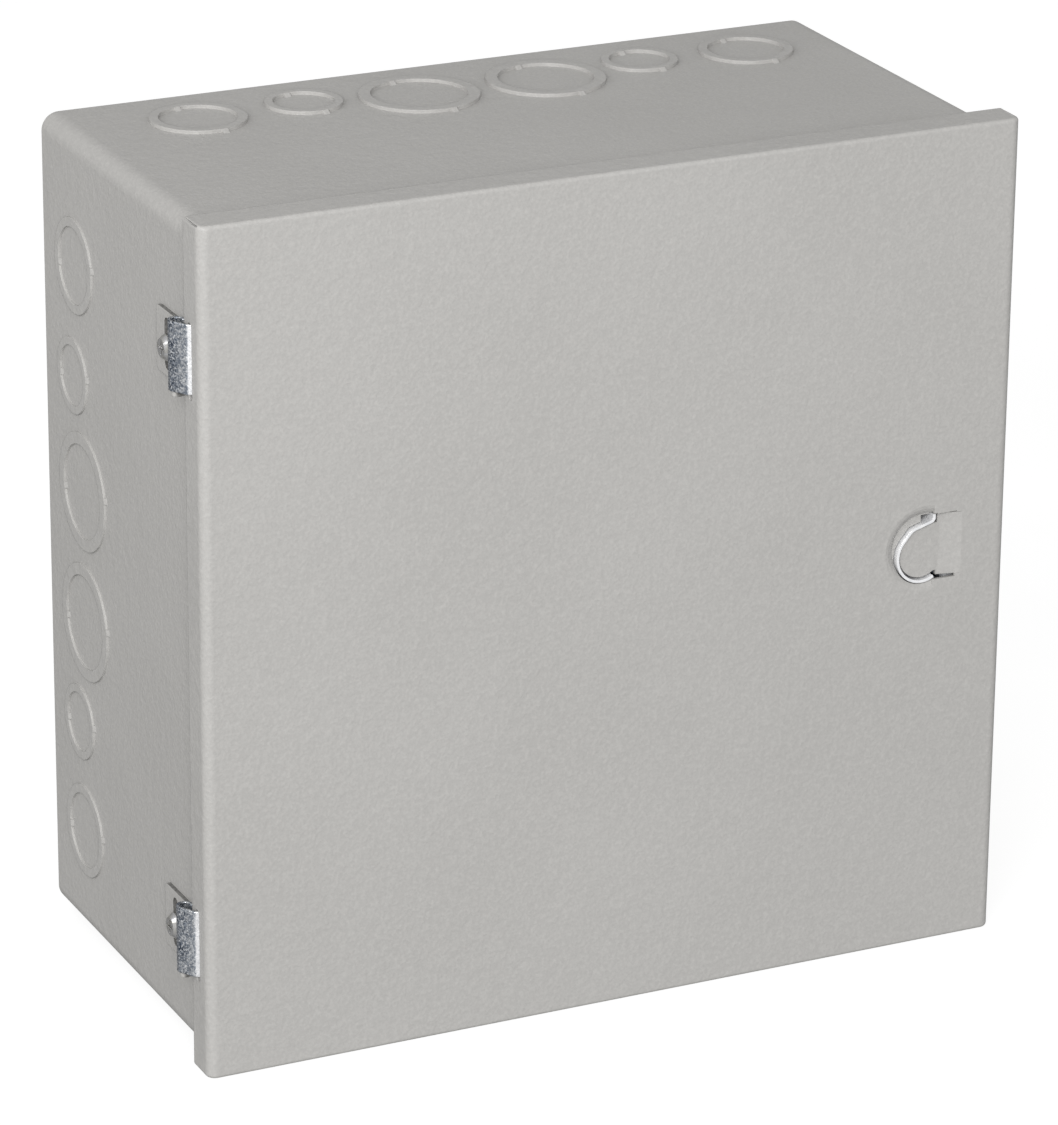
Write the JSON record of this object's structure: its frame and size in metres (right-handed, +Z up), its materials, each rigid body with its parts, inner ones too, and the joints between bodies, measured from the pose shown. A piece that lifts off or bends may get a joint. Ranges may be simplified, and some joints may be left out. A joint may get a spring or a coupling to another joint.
{
  "type": "residential load center",
  "caption": "Surface-mounted steel load center box with a hinged wrap-over door, finger-pull latch, knockouts on four sides, main breaker, branch breakers and neutral and ground bars.",
  "frame": {"origin": "centre of the four wall-fixing holes, on the outside of the back", "axes": "+Z up, +Y into the wall, +X to the right seen from the front; the door faces -Y"},
  "size_m": [0.317, 0.1564, 0.3122],
  "materials": {
    "enclosure_paint": "grey powder coat, satin, fine orange peel",
    "zinc_plate": "bright zinc plate, fine spangle",
    "galvanised": "galvanised sheet",
    "screw_zinc": "zinc-plated screw",
    "breaker_case": "moulded black thermoset",
    "breaker_handle": "satin black moulding",
    "insulator": "dark grey moulding",
    "bus_metal": "tin-plated bar",
    "bar_alloy": "extruded aluminium",
    "standoff": "natural nylon",
    "ground_green": "green dyed screw"
  },
  "bodies": {
    "enclosure": {"body_shell": "enclosure_paint", "hinge_leaf_upper": "enclosure_paint", "hinge_leaf_lower": "enclosure_paint", "hinge_screws": "screw_zinc", "hinge_nuts": "screw_zinc", "interior_pan": "galvanised", "mounting_studs": "screw_zinc", "mounting_nuts": "screw_zinc", "bus_insulator": "insulator", "bus_bar_a": "bus_metal", "bus_bar_b": "bus_metal", "breaker_rail_left": "galvanised", "breaker_rail_right": "galvanised", "branch_breaker_case_1": "breaker_case", "branch_breaker_case_2": "breaker_case", "branch_breaker_case_3": "breaker_case", "branch_breaker_case_4": "breaker_case", "branch_breaker_case_5": "breaker_case", "branch_breaker_case_6": "breaker_case", "breaker_terminal_screws": "screw_zinc", "main_breaker_case": "breaker_case", "main_lugs": "bus_metal", "main_lug_screws": "screw_zinc", "neutral_bar": "bar_alloy", "neutral_bar_screws": "screw_zinc", "neutral_bar_standoffs": "standoff", "ground_bar": "bar_alloy", "ground_bar_screws": "screw_zinc", "ground_bar_feet": "bar_alloy", "bonding_strap": "bus_metal", "bonding_screw": "ground_green", "dead_front": "enclosure_paint", "dead_front_screws": "screw_zinc", "trim_rail_left": "galvanised", "trim_rail_right": "galvanised"},
    "door": {"door_panel": "enclosure_paint", "hinge_strip_upper": "zinc_plate", "hinge_strip_lower": "zinc_plate", "latch_bracket": "zinc_plate", "latch_pin": "screw_zinc", "latch_spring": "zinc_plate", "latch_rivets": "screw_zinc"},
    "latch_lever": {"latch_lever": "zinc_plate"},
    "main_breaker_handle": {"main_breaker_handle": "breaker_handle"},
    "branch_breaker_handle_1": {"branch_breaker_handle_1": "breaker_handle"},
    "branch_breaker_handle_2": {"branch_breaker_handle_2": "breaker_handle"},
    "branch_breaker_handle_3": {"branch_breaker_handle_3": "breaker_handle"},
    "branch_breaker_handle_4": {"branch_breaker_handle_4": "breaker_handle"},
    "branch_breaker_handle_5": {"branch_breaker_handle_5": "breaker_handle"},
    "branch_breaker_handle_6": {"branch_breaker_handle_6": "breaker_handle"}
  },
  "joints": [
    {"name": "door_swing", "type": "hinge", "parent": "enclosure", "child": "door", "pos_m": [-0.15793, -0.14, 0], "axis": [0, 0, -1], "range_deg": [0, 165]},
    {"name": "latch_pull", "type": "hinge", "parent": "door", "child": "latch_lever", "pos_m": [0.1365, -0.149, 0], "axis": [0, 0, 1], "range_deg": [0, 7], "stiffness_Nm_per_rad": 0.05, "springref_deg": -5.73},
    {"name": "main_breaker_throw", "type": "hinge", "parent": "enclosure", "child": "main_breaker_handle", "pos_m": [0, -0.104, 0.05], "axis": [1, 0, 0], "range_deg": [0, 36]},
    {"name": "branch_breaker_throw_1", "type": "hinge", "parent": "enclosure", "child": "branch_breaker_handle_1", "pos_m": [-0.026, -0.104, -0.008], "axis": [0, 0, -1], "range_deg": [0, 36]},
    {"name": "branch_breaker_throw_2", "type": "hinge", "parent": "enclosure", "child": "branch_breaker_handle_2", "pos_m": [0.026, -0.104, -0.008], "axis": [0, 0, 1], "range_deg": [0, 36]},
    {"name": "branch_breaker_throw_3", "type": "hinge", "parent": "enclosure", "child": "branch_breaker_handle_3", "pos_m": [-0.026, -0.104, -0.0334], "axis": [0, 0, -1], "range_deg": [0, 36]},
    {"name": "branch_breaker_throw_4", "type": "hinge", "parent": "enclosure", "child": "branch_breaker_handle_4", "pos_m": [0.026, -0.104, -0.0334], "axis": [0, 0, 1], "range_deg": [0, 36]},
    {"name": "branch_breaker_throw_5", "type": "hinge", "parent": "enclosure", "child": "branch_breaker_handle_5", "pos_m": [-0.026, -0.104, -0.0588], "axis": [0, 0, -1], "range_deg": [0, 36]},
    {"name": "branch_breaker_throw_6", "type": "hinge", "parent": "enclosure", "child": "branch_breaker_handle_6", "pos_m": [0.026, -0.104, -0.0588], "axis": [0, 0, 1], "range_deg": [0, 36]}
  ]
}
